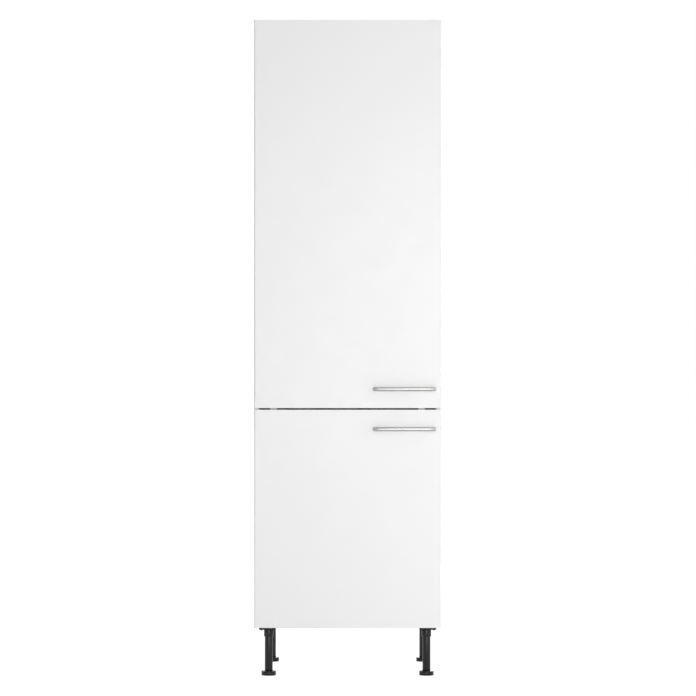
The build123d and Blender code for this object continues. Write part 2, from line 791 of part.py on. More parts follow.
with BuildPart() as wall_brackets:
    for x in wall_hole_xs:
        with BuildSketch(Plane.YZ.offset(x - bracket_width / 2)):
            with BuildLine():
                Polyline(
                    (bracket_back_y, top_under_z),
                    (bracket_back_y, top_under_z - bracket_leg),
                    (bracket_back_y - bracket_sheet, top_under_z - bracket_leg),
                    (bracket_back_y - bracket_sheet, top_under_z - bracket_sheet),
                    (bracket_back_y - bracket_leg, top_under_z - bracket_sheet),
                    (bracket_back_y - bracket_leg, top_under_z),
                    close=True,
                )
            make_face()
        extrude(amount=bracket_width)
    with BuildSketch(Plane.XZ.offset(-bracket_back_y)):
        with Locations(*[(x, wall_hole_z) for x in wall_hole_xs]):
            Circle(bracket_hole_radius)
    extrude(amount=bracket_sheet, mode=Mode.SUBTRACT)
    with BuildSketch(Plane.XY.offset(top_under_z)):
        with Locations(*bracket_screw_places):
            RegularPolygon(bracket_screw_radius + bore_fit, shank_flat_count)
    extrude(amount=-bracket_sheet, mode=Mode.SUBTRACT)
save(wall_brackets, "wall_brackets")

with BuildPart() as bracket_screws:
    with BuildSketch(Plane.XY.offset(top_under_z - bracket_sheet)):
        with Locations(*bracket_screw_places):
            RegularPolygon(bracket_screw_head_radius, shank_flat_count)
    extrude(amount=-bracket_screw_head)
    with BuildSketch(Plane.XY.offset(top_under_z - bracket_sheet)):
        with Locations(*bracket_screw_places):
            RegularPolygon(bracket_screw_radius, shank_flat_count)
    extrude(amount=bracket_screw_length)
save(bracket_screws, "bracket_screws")

# Legs: a socket under the bottom panel, a tube in it and a screw foot in the tube
with BuildPart() as leg_sockets:
    with BuildSketch(Plane.XY.offset(leg_height)) as base_outline:
        with Locations(*base_places):
            Rectangle(socket_base_width, socket_base_width)
        chamfer(base_outline.vertices(), socket_base_corner)
    extrude(amount=-socket_base_height)
    with BuildSketch(Plane.XY.offset(leg_height - socket_base_height)):
        with Locations(*leg_places.values()):
            RegularPolygon(socket_radius, wide_flat_count)
    extrude(amount=-socket_height)
    collar_ends = leg_sockets.faces().sort_by(Axis.Z)[:len(leg_places)].edges()
    chamfer(collar_ends, socket_taper)
    with BuildSketch(Plane.XY.offset(tube_top_z)):
        with Locations(*leg_places.values()):
            RegularPolygon(tube_radius + tube_fit, wide_flat_count)
    extrude(amount=-leg_height, mode=Mode.SUBTRACT)
    with BuildSketch(Plane.XY.offset(leg_height)):
        with Locations(*leg_screw_places):
            RegularPolygon(leg_screw_radius + bore_fit, shank_flat_count)
    extrude(amount=-socket_base_height, mode=Mode.SUBTRACT)
save(leg_sockets, "leg_sockets")

with BuildPart() as leg_screws:
    screw_seat_z = leg_height - socket_base_height
    with BuildSketch(Plane.XY.offset(screw_seat_z)):
        with Locations(*leg_screw_places):
            RegularPolygon(leg_screw_radius, shank_flat_count)
    extrude(amount=socket_base_height + leg_screw_bite)
    with BuildSketch(Plane.XY.offset(screw_seat_z)):
        with Locations(*leg_screw_places):
            RegularPolygon(leg_screw_head_radius, shank_flat_count)
    extrude(amount=-leg_screw_head)
save(leg_screws, "leg_screws")

with BuildPart() as leg_tubes:
    with BuildSketch(Plane.XY.offset(tube_bottom_z)):
        with Locations(*leg_places.values()):
            RegularPolygon(tube_radius, wide_flat_count)
            RegularPolygon(tube_radius - tube_wall, wide_flat_count, mode=Mode.SUBTRACT)
    extrude(amount=tube_top_z - tube_bottom_z)
save(leg_tubes, "leg_tubes")

# Each foot has a plain rim above a grip band, whose ribs are two polygons turned against each other
grip_turn = 180 / grip_flat_count

for leg_name, place in leg_places.items():
    with BuildPart() as foot:
        with BuildSketch(Plane.XY.offset(foot_chamfer)):
            with Locations(place):
                RegularPolygon(foot_radius, grip_flat_count)
                RegularPolygon(foot_radius, grip_flat_count, rotation=grip_turn)
        extrude(amount=foot_height - foot_rim_height - foot_chamfer)
        with BuildSketch(Plane.XY.offset(foot_chamfer)):
            with Locations(place):
                RegularPolygon(foot_radius - foot_chamfer / 2, wide_flat_count)
        extrude(amount=-foot_chamfer, taper=foot_taper)
        with BuildSketch(Plane.XY.offset(foot_height - foot_rim_height)):
            with Locations(place):
                RegularPolygon(foot_radius, wide_flat_count)
        extrude(amount=foot_rim_height)
        chamfer(foot.edges().group_by(Axis.Z)[-1], foot_rim_chamfer)
        with BuildSketch(Plane.XY.offset(foot_height)):
            with Locations(place):
                RegularPolygon(foot_stem_radius, disc_flat_count)
        extrude(amount=foot_stem_length)
    save(foot, f"foot_{leg_name}")
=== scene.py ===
import json
import math

import bmesh
import bpy
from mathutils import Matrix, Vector

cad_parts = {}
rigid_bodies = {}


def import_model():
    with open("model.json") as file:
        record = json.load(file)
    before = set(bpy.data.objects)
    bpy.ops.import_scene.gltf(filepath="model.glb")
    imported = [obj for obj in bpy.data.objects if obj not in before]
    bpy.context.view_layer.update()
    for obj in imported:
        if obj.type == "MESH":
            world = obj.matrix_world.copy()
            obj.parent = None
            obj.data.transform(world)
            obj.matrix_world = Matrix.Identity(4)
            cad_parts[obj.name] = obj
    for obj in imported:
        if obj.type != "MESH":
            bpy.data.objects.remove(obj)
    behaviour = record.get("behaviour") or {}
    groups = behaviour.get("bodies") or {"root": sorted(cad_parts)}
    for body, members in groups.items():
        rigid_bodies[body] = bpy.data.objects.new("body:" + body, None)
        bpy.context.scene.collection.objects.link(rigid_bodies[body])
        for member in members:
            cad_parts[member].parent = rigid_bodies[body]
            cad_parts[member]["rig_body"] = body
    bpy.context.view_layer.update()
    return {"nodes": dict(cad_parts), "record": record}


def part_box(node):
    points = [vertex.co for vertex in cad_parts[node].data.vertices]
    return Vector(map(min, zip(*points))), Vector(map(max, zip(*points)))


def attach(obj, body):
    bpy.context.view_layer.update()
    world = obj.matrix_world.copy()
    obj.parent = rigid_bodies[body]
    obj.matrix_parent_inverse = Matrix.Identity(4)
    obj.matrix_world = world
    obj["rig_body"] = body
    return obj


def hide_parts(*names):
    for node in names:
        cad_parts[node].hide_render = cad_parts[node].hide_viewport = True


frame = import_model()

# Everything is in metres, so the small sizes are written in millimetres and multiplied by this
MM = 0.001

UP, DOWN = Vector((0, 0, 1)), Vector((0, 0, -1))
BACK, RIGHT = Vector((0, 1, 0)), Vector((1, 0, 0))

# Camera, worked out from the photograph: a straight front view with a long lens
CAMERA_DISTANCE = 9.8
CAMERA_HEIGHT = 1.058
CAMERA_RIGHT = 1.3 * MM
CAMERA_LENS = 158
SENSOR_WIDTH = 36
CAMERA_CLIP_END = 100

# Corners of the frame's meshes that are nearer than this are one corner
SAME_CORNER = 0.001 * MM

# How finely round shapes are divided, the turn from which an edge counts as sharp, and soft edges
ROUND_STEPS = 64
SMALL_STEPS = 32
ELBOW_STEPS = 14
CORNER_STEPS = 5
BEVEL_STEPS = 2
BEVEL_ROUNDNESS = 0.5
SHARP_TURN = math.radians(35)
SOFT_EDGE = 0.5 * MM
FINE_EDGE = 0.25 * MM

# Handles and legs
HANDLE_BEND = 12 * MM
TUBE_WALL = 2.4 * MM
TUBE_FIT = 0.1 * MM
SOCKET_BASE_HEIGHT = 9 * MM
SOCKET_BASE_CORNER = 7 * MM
COLLAR_RADIUS = 15.5 * MM
COLLAR_TAPER = 1.5 * MM
FOOT_GAP = 0.3 * MM
FOOT_RIM = 5 * MM
FOOT_RIM_ROUND = 0.7 * MM
FOOT_SOLE_ROUND = 1.8 * MM
FOOT_LOBES = 12
FOOT_LOBE_DEPTH = 1.4 * MM
FOOT_STEPS = 144
STEM_RADIUS = 10 * MM
STEM_PITCH = 4 * MM
STEM_THREAD = 0.8 * MM
STEM_ROWS_PER_PITCH = 6

# Hinges
PLATE_SHEET = 2.4 * MM
PLATE_CORNER = 3 * MM
PLATE_WING_LENGTH = 20 * MM
PLATE_RIDGE_WIDTH = 12 * MM
PLATE_RIDGE_EDGE = 1.4 * MM
ARM_SHEET = 1.2 * MM
ARM_NOSE = 2.4 * MM
ARM_WEB_SETBACK = 9 * MM
ARM_FOOT_SETBACK = 16 * MM
LINK_SHEET = 1.2 * MM
LINK_EYE = 1.6 * MM
LINK_EYE_BORE = 0.95 * MM
LINK_BEND = 1.5 * MM
RIVET_RADIUS = 1.6 * MM
RIVET_HEAD = 0.4 * MM
CUP_SHEET = 1 * MM
CUP_WALL = 0.8 * MM
CUP_BOTTOM_ROUND = 2.5 * MM
CUP_PLATE_LEFT = 11 * MM
CUP_PLATE_RIGHT = 15 * MM
CUP_PLATE_CORNER = 4 * MM

# Where a hinge link bends: how far along the line between its pins, and how far beside that line
LINK_BOW_SHARES = ((0.08, 0.36), (0.425, 0.392))

# Each kind of screw: the way its heads face, its head's height and its shank's radius
SCREW_KINDS = {
    "cup_screws": (BACK, 1.4 * MM, 1.5 * MM),
    "handle_screws": (BACK, 2.2 * MM, 1.9 * MM),
    "plate_screws": (RIGHT, 2.0 * MM, 2.3 * MM),
    "arm_screws": (RIGHT, 1.6 * MM, 2.2 * MM),
    "leg_screws": (DOWN, 2.4 * MM, 1.8 * MM),
    "bracket_screws": (DOWN, 1.8 * MM, 2.0 * MM),
}

# The cross recess, the flat top and the round of a head, and the shank's tip, as shares of the screw
RECESS_REACH_SHARE = 0.5
RECESS_ARM_SHARE = 0.11
RECESS_NARROWING_SHARE = 0.6
RECESS_DEPTH_SHARE = 0.7
HEAD_LAND_SHARE = 0.6
HEAD_ROUND_SHARE = 0.8
SCREW_TIP_SHARE = 1 / 3

# Cam discs, shelf pins, door stops and bumpers
CAM_RECESS_DEPTH = 2.5 * MM
SHELF_PIN_RADIUS = 2.4 * MM
SHELF_REST_OUT = 8 * MM
SHELF_REST_SIDE = 1.5 * MM
STOP_CORNER = 1 * MM
STOP_EDGE = 0.8 * MM
BUMPER_TOP_SHARE = 0.5

# Noise in the finishes: each one's features per metre and its number of finer layers
PANEL_CLOUDS = (2.2, 3.0)
PANEL_GLOSS = (38, 4.0)
PANEL_GRAIN_LAYERS = 3.0
BOARD_CLOUDS = (2.6, 3.0)
BOARD_GLOSS = (30, 4.0)
BOARD_PEARL = (1100, 3.0)
BOARD_CHIPS = (620, 5.0)
STEEL_STREAKS = (2600, 3.0)
STEEL_GLOSS = (24, 2.0)
PLATING_PATCHES = (160, 4.0)
PLATING_DENTS = (900, 2.0)
PLASTIC_CLOUDS = (45, 3.0)
PLASTIC_GLOSS = (300, 2.0)
PLASTIC_GRAIN = (1800, 2.0)
BEECH_GRAIN = (220, 6.0)
PAD_GRAIN = (700, 2.0)

# The scale of some noise along each axis: the smaller the number, the longer its features
CHIP_STRETCH = (1, 1, 0.5)
BEECH_STRETCH = (0.12, 1, 1)

# The noise values between which a tone goes from its first colour to its second
NOISE_START, NOISE_END = 0.3, 0.7
CHIP_START, CHIP_END = 0.35, 0.65

# The other tone of each finish, as a share of its colour
PANEL_TONE_SHARE = 0.985
BOARD_TONE_SHARE = 0.98
STEEL_TONE_SHARE = 0.93
PLATING_TONE_SHARE = 0.86
PLASTIC_TONE_SHARE = 1.04

# How far each finish's roughness goes below and above its own value
PANEL_GLOSS_RANGE = (0.04, 0.05)
BOARD_GLOSS_RANGE = (0.04, 0.06)
STEEL_GLOSS_RANGE = (0.01, 0.02)
PLATING_GLOSS_RANGE = (0.06, 0.1)
PLASTIC_GLOSS_RANGE = (0.04, 0.06)

# The strength of each finish's fine relief, and its depth where no slot sets one of its own
PANEL_RELIEF = 0.35
BOARD_RELIEF, BOARD_RELIEF_DEPTH = 0.4, 0.05 * MM
STEEL_RELIEF, STEEL_RELIEF_DEPTH = 0.15, 0.003 * MM
PLATING_RELIEF, PLATING_RELIEF_DEPTH = 0.2, 0.02 * MM
PLASTIC_RELIEF = 0.4
BEECH_RELIEF, BEECH_RELIEF_DEPTH = 0.4, 0.08 * MM
PAD_RELIEF, PAD_RELIEF_DEPTH = 0.3, 0.03 * MM

# The clear pads let this share of the light through, and bend it by this index
PAD_CLEAR_SHARE = 0.75
PAD_REFRACTION = 1.48

# A face of a board is a raw edge where its normal points back by more than this
RAW_EDGE_FACING = 0.9

# Stage: the floor's glow goes from its near strength to its far one between the fade's distances
FLOOR_REACH = 30
FLOOR_COLOUR = (0.9, 0.9, 0.9)
FLOOR_ROUGHNESS = 0.9
FLOOR_FADE_START = 1.0
FLOOR_FADE_END = 2.6
FLOOR_GLOW_NEAR = 0.86
FLOOR_GLOW_FAR = 1.02
FLOOR_SHADOW_TONE = (0.3, 0.3, 0.3)

# The surround's colour, and how strongly it lights the object
WHITE = (1, 1, 1, 1)
AMBIENT = 0.4

# Each softbox: its place, what it is aimed at, its width, its height and its power in watts
SOFTBOXES = {
    "front_softbox": ((0.6, -5.6, 1.15), (0, -0.3, 1.05), 1.6, 2.0, 94),
    "side_softbox": ((1.9, -1.6, 1.2), (0, -0.3, 1.05), 0.6, 2.5, 11),
    "top_softbox": ((0.1, 0.7, 4.6), (0, 0, 1.0), 2.4, 2.4, 30),
    "right_softbox": ((5.0, 1.2, 1.6), (0, 0, 1.0), 2.2, 2.6, 54),
    "left_softbox": ((-5.0, 1.2, 1.6), (0, 0, 1.0), 2.2, 2.6, 57),
    "back_softbox": ((0.8, 4.6, 1.8), (0, 0, 1.0), 2.4, 3.0, 68),
}


# Measures taken from the frame

def solid_boxes(node):
    """The lowest and highest corner of each separate solid in a CAD node, from the lowest solid up."""
    mesh = frame["nodes"][node].data
    parent = {}

    def root(key):
        """The corner that stands for all the corners joined to this one."""
        while parent[key] != key:
            parent[key] = parent[parent[key]]
            key = parent[key]
        return key

    keys = [tuple(round(c / SAME_CORNER) for c in v.co) for v in mesh.vertices]
    for key in keys:
        parent.setdefault(key, key)
    for edge in mesh.edges:
        a, b = (root(keys[i]) for i in edge.vertices)
        parent[a] = b
    groups = {}
    for key, vertex in zip(keys, mesh.vertices):
        groups.setdefault(root(key), []).append(vertex.co)
    boxes = []
    for points in groups.values():
        low = Vector([min(p[i] for p in points) for i in range(3)])
        high = Vector([max(p[i] for p in points) for i in range(3)])
        boxes.append((low, high))
    return sorted(boxes, key=lambda box: [round(box[0][axis] / MM) for axis in (2, 1, 0)])


def middle(box):
    """The centre of a box."""
    return (box[0] + box[1]) / 2


def floor_point(box):
    """The point on the floor under the centre of a box."""
    centre = middle(box)
    return Vector((centre.x, centre.y, 0))


def nearest(place, places):
    """The one of some places that is nearest to a place."""
    return min(places, key=lambda other: (other - place).length)


carcass_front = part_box("side_panel_left")[0].y
cabinet_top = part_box("top_panel")[1].z
slot_of = {subpart["node"]: subpart["material_slot"] for subpart in frame["record"]["subparts"]}
# The photograph shows dark screw heads under the sockets, so they get the finish of the plastic
slot_of["leg_screws"] = "black_plastic"


# Materials

def new_material(name, colour, roughness, metallic=0.0, specular=0.5):
    """A material with its constants on the shader's own sockets."""
    material = bpy.data.materials.new(name)
    material.use_nodes = True
    shader = material.node_tree.nodes["Principled BSDF"]
    shader.inputs["Base Color"].default_value = (*colour, 1)
    shader.inputs["Roughness"].default_value = roughness
    shader.inputs["Metallic"].default_value = metallic
    shader.inputs["Specular IOR Level"].default_value = specular
    return material, shader


def add_node(material, kind, **values):
    """A node of a material or a world, with its inputs, or else its settings, set by name."""
    node = material.node_tree.nodes.new(kind)
    for key, value in values.items():
        socket = node.inputs.get(key.replace("_", " "))
        if socket is not None:
            socket.default_value = value
        else:
            setattr(node, key, value)
    return node


def object_noise(material, scale, detail, stretch=(1, 1, 1)):
    """Noise in the object's own coordinates: features per metre, finer layers, and a scale per axis."""
    links = material.node_tree.links
    place = add_node(material, "ShaderNodeTexCoord")
    mapping = add_node(material, "ShaderNodeMapping", Scale=stretch)
    noise = add_node(material, "ShaderNodeTexNoise", Scale=scale, Detail=detail)
    links.new(place.outputs["Object"], mapping.inputs["Vector"])
    links.new(mapping.outputs["Vector"], noise.inputs["Vector"])
    return noise.outputs["Fac"]


def ramp_between(material, factor, low, high, start=NOISE_START, end=NOISE_END):
    """A value that runs from low to high as factor goes from start to end."""
    limits = {"From_Min": start, "From_Max": end, "To_Min": low, "To_Max": high}
    node = add_node(material, "ShaderNodeMapRange", **limits)
    material.node_tree.links.new(factor, node.inputs["Value"])
    return node.outputs["Result"]


def colour_between(material, factor, low, high):
    """A colour that runs from low to high with factor; each is a colour or another node's output."""
    links = material.node_tree.links
    node = add_node(material, "ShaderNodeMix", data_type="RGBA")
    colour_inputs = [socket for socket in node.inputs if socket.type == "RGBA"]
    for socket, colour in zip(colour_inputs, (low, high)):
        if isinstance(colour, tuple):
            socket.default_value = (*colour, 1)
        else:
            links.new(colour, socket)
    links.new(factor, node.inputs["Factor"])
    return [socket for socket in node.outputs if socket.type == "RGBA"][0]


def add_tones(material, shader, noise, low, high):
    """Base colour that goes from low to high with a noise."""
    tone = ramp_between(material, noise, 0.0, 1.0)
    material.node_tree.links.new(colour_between(material, tone, low, high), shader.inputs["Base Color"])


def add_gloss(material, shader, noise, roughness, gloss_range):
    """Roughness that goes with a noise from below its value to above it."""
    below, above = gloss_range
    gloss = ramp_between(material, noise, roughness - below, roughness + above)
    material.node_tree.links.new(gloss, shader.inputs["Roughness"])


def add_relief(material, shader, height, strength, depth):
    """Fine relief from a height, with its depth in metres."""
    bump = add_node(material, "ShaderNodeBump", Strength=strength, Distance=depth)
    material.node_tree.links.new(height, bump.inputs["Height"])
    material.node_tree.links.new(bump.outputs["Normal"], shader.inputs["Normal"])


def shaded(colour, share):
    """A colour with each channel taken to a share of itself."""
    return tuple(channel * share for channel in colour)


def smooth_panel(name, colour, roughness, grain_scale, grain_depth):
    """Foil or edge band: an even tone with faint clouds, a fine grain and a slightly uneven gloss."""
    material, shader = new_material(name, colour, roughness)
    clouds = object_noise(material, *PANEL_CLOUDS)
    add_tones(material, shader, clouds, shaded(colour, PANEL_TONE_SHARE), colour)
    add_gloss(material, shader, object_noise(material, *PANEL_GLOSS), roughness, PANEL_GLOSS_RANGE)
    grain = object_noise(material, grain_scale, PANEL_GRAIN_LAYERS)
    add_relief(material, shader, grain, PANEL_RELIEF, grain_depth)
    return material


def faced_board(name, colour, roughness, chips_light, chips_dark):
    """Melamine-faced board: a pearl grain on its faces, and raw chips on the edges that face back."""
    material, shader = new_material(name, colour, roughness)
    links = material.node_tree.links
    clouds = ramp_between(material, object_noise(material, *BOARD_CLOUDS), 0.0, 1.0)
    face = colour_between(material, clouds, shaded(colour, BOARD_TONE_SHARE), colour)
    chip_noise = object_noise(material, *BOARD_CHIPS, CHIP_STRETCH)
    chip_tone = ramp_between(material, chip_noise, 0.0, 1.0, CHIP_START, CHIP_END)
    chips = colour_between(material, chip_tone, chips_dark, chips_light)
    place = add_node(material, "ShaderNodeTexCoord")
    facing = add_node(material, "ShaderNodeSeparateXYZ")
    links.new(place.outputs["Normal"], facing.inputs[0])
    raw = add_node(material, "ShaderNodeMath", operation="GREATER_THAN")
    raw.inputs[1].default_value = RAW_EDGE_FACING
    links.new(facing.outputs["Y"], raw.inputs[0])
    links.new(colour_between(material, raw.outputs[0], face, chips), shader.inputs["Base Color"])
    add_gloss(material, shader, object_noise(material, *BOARD_GLOSS), roughness, BOARD_GLOSS_RANGE)
    pearl = object_noise(material, *BOARD_PEARL)
    add_relief(material, shader, pearl, BOARD_RELIEF, BOARD_RELIEF_DEPTH)
    return material


def brushed_metal(name, colour, roughness, stretch):
    """Metal with fine streaks along one axis, in its tone and its relief."""
    material, shader = new_material(name, colour, roughness, metallic=1.0)
    streaks = object_noise(material, *STEEL_STREAKS, stretch)
    add_tones(material, shader, streaks, shaded(colour, STEEL_TONE_SHARE), colour)
    add_gloss(material, shader, object_noise(material, *STEEL_GLOSS), roughness, STEEL_GLOSS_RANGE)
    add_relief(material, shader, streaks, STEEL_RELIEF, STEEL_RELIEF_DEPTH)
    return material


def plated_metal(name, colour, roughness):
    """Plated pressed steel: small patches of tone and gloss, with no direction."""
    material, shader = new_material(name, colour, roughness, metallic=1.0)
    patches = object_noise(material, *PLATING_PATCHES)
    add_tones(material, shader, patches, shaded(colour, PLATING_TONE_SHARE), colour)
    add_gloss(material, shader, patches, roughness, PLATING_GLOSS_RANGE)
    dents = object_noise(material, *PLATING_DENTS)
    add_relief(material, shader, dents, PLATING_RELIEF, PLATING_RELIEF_DEPTH)
    return material


def moulded_plastic(name, colour, roughness, grain_depth, specular):
    """Moulded plastic with the fine eroded grain of its tool and a faintly uneven gloss."""
    material, shader = new_material(name, colour, roughness, specular=specular)
    clouds = object_noise(material, *PLASTIC_CLOUDS)
    add_tones(material, shader, clouds, colour, shaded(colour, PLASTIC_TONE_SHARE))
    add_gloss(material, shader, object_noise(material, *PLASTIC_GLOSS), roughness, PLASTIC_GLOSS_RANGE)
    add_relief(material, shader, object_noise(material, *PLASTIC_GRAIN), PLASTIC_RELIEF, grain_depth)
    return material


def raw_wood(name, light, dark, roughness):
    """Turned beech: long fine grain with short flecks."""
    material, shader = new_material(name, light, roughness)
    grain = object_noise(material, *BEECH_GRAIN, BEECH_STRETCH)
    add_tones(material, shader, grain, dark, light)
    add_relief(material, shader, grain, BEECH_RELIEF, BEECH_RELIEF_DEPTH)
    return material


def clear_plastic(name, colour, roughness):
    """Soft clear plastic."""
    material, shader = new_material(name, colour, roughness)
    shader.inputs["Transmission Weight"].default_value = PAD_CLEAR_SHARE
    shader.inputs["IOR"].default_value = PAD_REFRACTION
    add_relief(material, shader, object_noise(material, *PAD_GRAIN), PAD_RELIEF, PAD_RELIEF_DEPTH)
    return material


# Each slot's finish: the function that makes it, and the values it is given
FINISHES = {
    "door_face": (smooth_panel, {
        "colour": (0.87, 0.87, 0.868), "roughness": 0.4, "grain_scale": 1400, "grain_depth": 0.03 * MM}),
    "door_band": (smooth_panel, {
        "colour": (0.86, 0.86, 0.855), "roughness": 0.42, "grain_scale": 1600, "grain_depth": 0.02 * MM}),
    "carcass_panel": (faced_board, {
        "colour": (0.85, 0.85, 0.84), "roughness": 0.5,
        "chips_light": (0.62, 0.46, 0.29), "chips_dark": (0.3, 0.19, 0.1)}),
    "back_sheet": (smooth_panel, {
        "colour": (0.78, 0.78, 0.77), "roughness": 0.62, "grain_scale": 700, "grain_depth": 0.12 * MM}),
    "white_plastic": (moulded_plastic, {
        "colour": (0.85, 0.85, 0.84), "roughness": 0.45, "grain_depth": 0.03 * MM, "specular": 0.5}),
    "handle_steel": (brushed_metal, {
        "colour": (0.41, 0.41, 0.405), "roughness": 0.28, "stretch": (0.004, 1, 1)}),
    "hinge_nickel": (plated_metal, {"colour": (0.6, 0.585, 0.55), "roughness": 0.26}),
    "zinc": (plated_metal, {"colour": (0.55, 0.56, 0.57), "roughness": 0.38}),
    "beech": (raw_wood, {"light": (0.62, 0.42, 0.24), "dark": (0.42, 0.26, 0.13), "roughness": 0.6}),
    "black_plastic": (moulded_plastic, {
        "colour": (0.002, 0.002, 0.002), "roughness": 0.3, "grain_depth": 0.015 * MM, "specular": 0.32}),
    "clear_pad": (clear_plastic, {"colour": (0.86, 0.87, 0.87), "roughness": 0.3}),
}
materials = {name: make(name, **values) for name, (make, values) in FINISHES.items()}

for node_name, slot_name in slot_of.items():
    slots = frame["nodes"][node_name].data.materials
    slots.clear()
    slots.append(materials[slot_name])


# Mesh helpers

def finish_piece(bm, name, node):
    """Turns a bmesh into a piece that stands for a CAD node, on the node's body and in its slot."""
    bmesh.ops.recalc_face_normals(bm, faces=bm.faces)
    mesh = bpy.data.meshes.new(name)
    bm.to_mesh(mesh)
    bm.free()
    mesh.materials.append(materials[slot_of[node]])
    piece = bpy.data.objects.new(name, mesh)
    bpy.context.scene.collection.objects.link(piece)
    mesh.shade_smooth()
    mesh.set_sharp_from_angle(angle=SHARP_TURN)
    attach(piece, frame["nodes"][node]["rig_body"])
    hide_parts(node)


def add_ring_rows(bm, rows, closed=False):
    """Joins rows of points with quads, each row a ring; closed joins the last row to the first."""
    rings = [[bm.verts.new(point) for point in row] for row in rows]
    pairs = list(zip(rings, rings[1:]))
    if closed:
        pairs.append((rings[-1], rings[0]))
    for low, high in pairs:
        for i in range(len(low)):
            j = (i + 1) % len(low)
            bm.faces.new((low[i], low[j], high[j], high[i]))
    return rings


def ring_points(profile, centre, facing, steps, ripple=None):
    """Rows of points round an axis, one for each (radius, height) of a profile."""
    turn = UP.rotation_difference(facing).to_matrix()
    rows = []
    for index, (radius, height) in enumerate(profile):
        row = []
        for i in range(steps):
            angle = 2 * math.pi * i / steps
            reach = radius - (ripple(index, angle) if ripple else 0)
            place = Vector((reach * math.cos(angle), reach * math.sin(angle), height))
            row.append(centre + turn @ place)
        rows.append(row)
    return rows


def add_turned(bm, profile, centre, facing=UP, steps=SMALL_STEPS, ripple=None):
    """A solid turned from a profile, with a flat face at each end."""
    rings = add_ring_rows(bm, ring_points(profile, centre, facing, steps, ripple))
    bm.faces.new(rings[0])
    bm.faces.new(reversed(rings[-1]))


def add_turned_ring(bm, profile, centre, facing=UP, steps=ROUND_STEPS):
    """A ring turned from a closed profile."""
    add_ring_rows(bm, ring_points(profile, centre, facing, steps), closed=True)


def rounded(corner, before, after, radius, steps=CORNER_STEPS):
    """Points of a round at a profile's corner, between the points before and after it."""
    corner, before, after = Vector(corner), Vector(before), Vector(after)
    start = corner + (before - corner).normalized() * radius
    end = corner + (after - corner).normalized() * radius
    points = []
    for i in range(steps + 1):
        t = i / steps
        points.append(tuple(start * (1 - t) ** 2 + corner * 2 * t * (1 - t) + end * t ** 2))
    return points


def rounded_outline(points, radius, steps=CORNER_STEPS):
    """A closed outline whose corners are all rounded by the same radius."""
    result = []
    for i, point in enumerate(points):
        result += rounded(point, points[i - 1], points[(i + 1) % len(points)], radius, steps)
    return result


def rounded_route(points, radius):
    """An open route whose inner corners are rounded by the same radius."""
    result = [tuple(points[0])]
    for before, corner, after in zip(points, points[1:], points[2:]):
        result += rounded(corner, before, after, radius)
    return result + [tuple(points[-1])]


def ring_section(outer, inner, low, high, edge):
    """The rounded section of a tube, from low to high."""
    return rounded_outline([(outer, low), (outer, high), (inner, high), (inner, low)], edge, BEVEL_STEPS)


def rectangle(low_a, high_a, low_b, high_b):
    """The four corners of a rectangle."""
    return [(low_a, low_b), (high_a, low_b), (high_a, high_b), (low_a, high_b)]


def add_prism(bm, outline, axis, start, end, edge=SOFT_EDGE):
    """A prism along axis 0, 1 or 2, with soft edges; the outline holds the other two coordinates."""
    part = bmesh.new()
    rows = []
    for reach in (start, end):
        row = []
        for a, b in outline:
            place = [a, b]
            place.insert(axis, reach)
            row.append(Vector(place))
        rows.append(row)
    rings = add_ring_rows(part, rows)
    part.faces.new(rings[0])
    part.faces.new(reversed(rings[-1]))
    bmesh.ops.recalc_face_normals(part, faces=part.faces)
    sharp = [e for e in part.edges if e.calc_face_angle(0) > SHARP_TURN]
    bmesh.ops.bevel(part, geom=sharp, offset=edge, segments=BEVEL_STEPS, profile=BEVEL_ROUNDNESS,
                    affect="EDGES", clamp_overlap=True)
    mesh = bpy.data.meshes.new("prism")
    part.to_mesh(mesh)
    part.free()
    bm.from_mesh(mesh)
    bpy.data.meshes.remove(mesh)


# Handles: a round bar bent back to the door at both ends

def bar_route(box):
    """Points and directions along the bar's centre line, from one end on the door to the other."""
    low, high = box
    radius = (high.z - low.z) / 2
    left, right = low.x + radius, high.x - radius
    bar_y = low.y + radius
    height = (low.z + high.z) / 2
    route = [(Vector((left, high.y, height)), Vector((0, -1, 0)))]
    for i in range(ELBOW_STEPS + 1):
        turn = math.pi / 2 * i / ELBOW_STEPS
        across, out = 1 - math.cos(turn), 1 - math.sin(turn)
        place = Vector((left + HANDLE_BEND * across, bar_y + HANDLE_BEND * out, height))
        route.append((place, Vector((math.sin(turn), -math.cos(turn), 0))))
    for i in range(ELBOW_STEPS + 1):
        turn = math.pi / 2 * i / ELBOW_STEPS
        across, out = 1 - math.sin(turn), 1 - math.cos(turn)
        place = Vector((right - HANDLE_BEND * across, bar_y + HANDLE_BEND * out, height))
        route.append((place, Vector((math.cos(turn), math.sin(turn), 0))))
    route.append((Vector((right, high.y, height)), BACK))
    return route, radius


def make_handle(door):
    """The smooth bar of one door, with closed ends that stand on the door's face."""
    route, radius = bar_route(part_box(f"{door}_handle"))
    rows = []
    for place, direction in route:
        side = direction.cross(UP)
        row = []
        for i in range(SMALL_STEPS):
            angle = 2 * math.pi * i / SMALL_STEPS
            row.append(place + radius * (math.cos(angle) * side + math.sin(angle) * UP))
        rows.append(row)
    bm = bmesh.new()
    rings = add_ring_rows(bm, rows)
    bm.faces.new(rings[0])
    bm.faces.new(reversed(rings[-1]))
    finish_piece(bm, f"{door}_bar_handle", f"{door}_handle")


# Legs: sockets, tubes and screw feet

def make_tubes():
    """The four tubes, open at both ends, with softened rims."""
    bm = bmesh.new()
    for low, high in solid_boxes("leg_tubes"):
        outer = (high.x - low.x) / 2
        section = ring_section(outer, outer - TUBE_WALL, low.z, high.z, SOFT_EDGE)
        add_turned_ring(bm, section, floor_point((low, high)))
    finish_piece(bm, "leg_tube_mouldings", "leg_tubes")


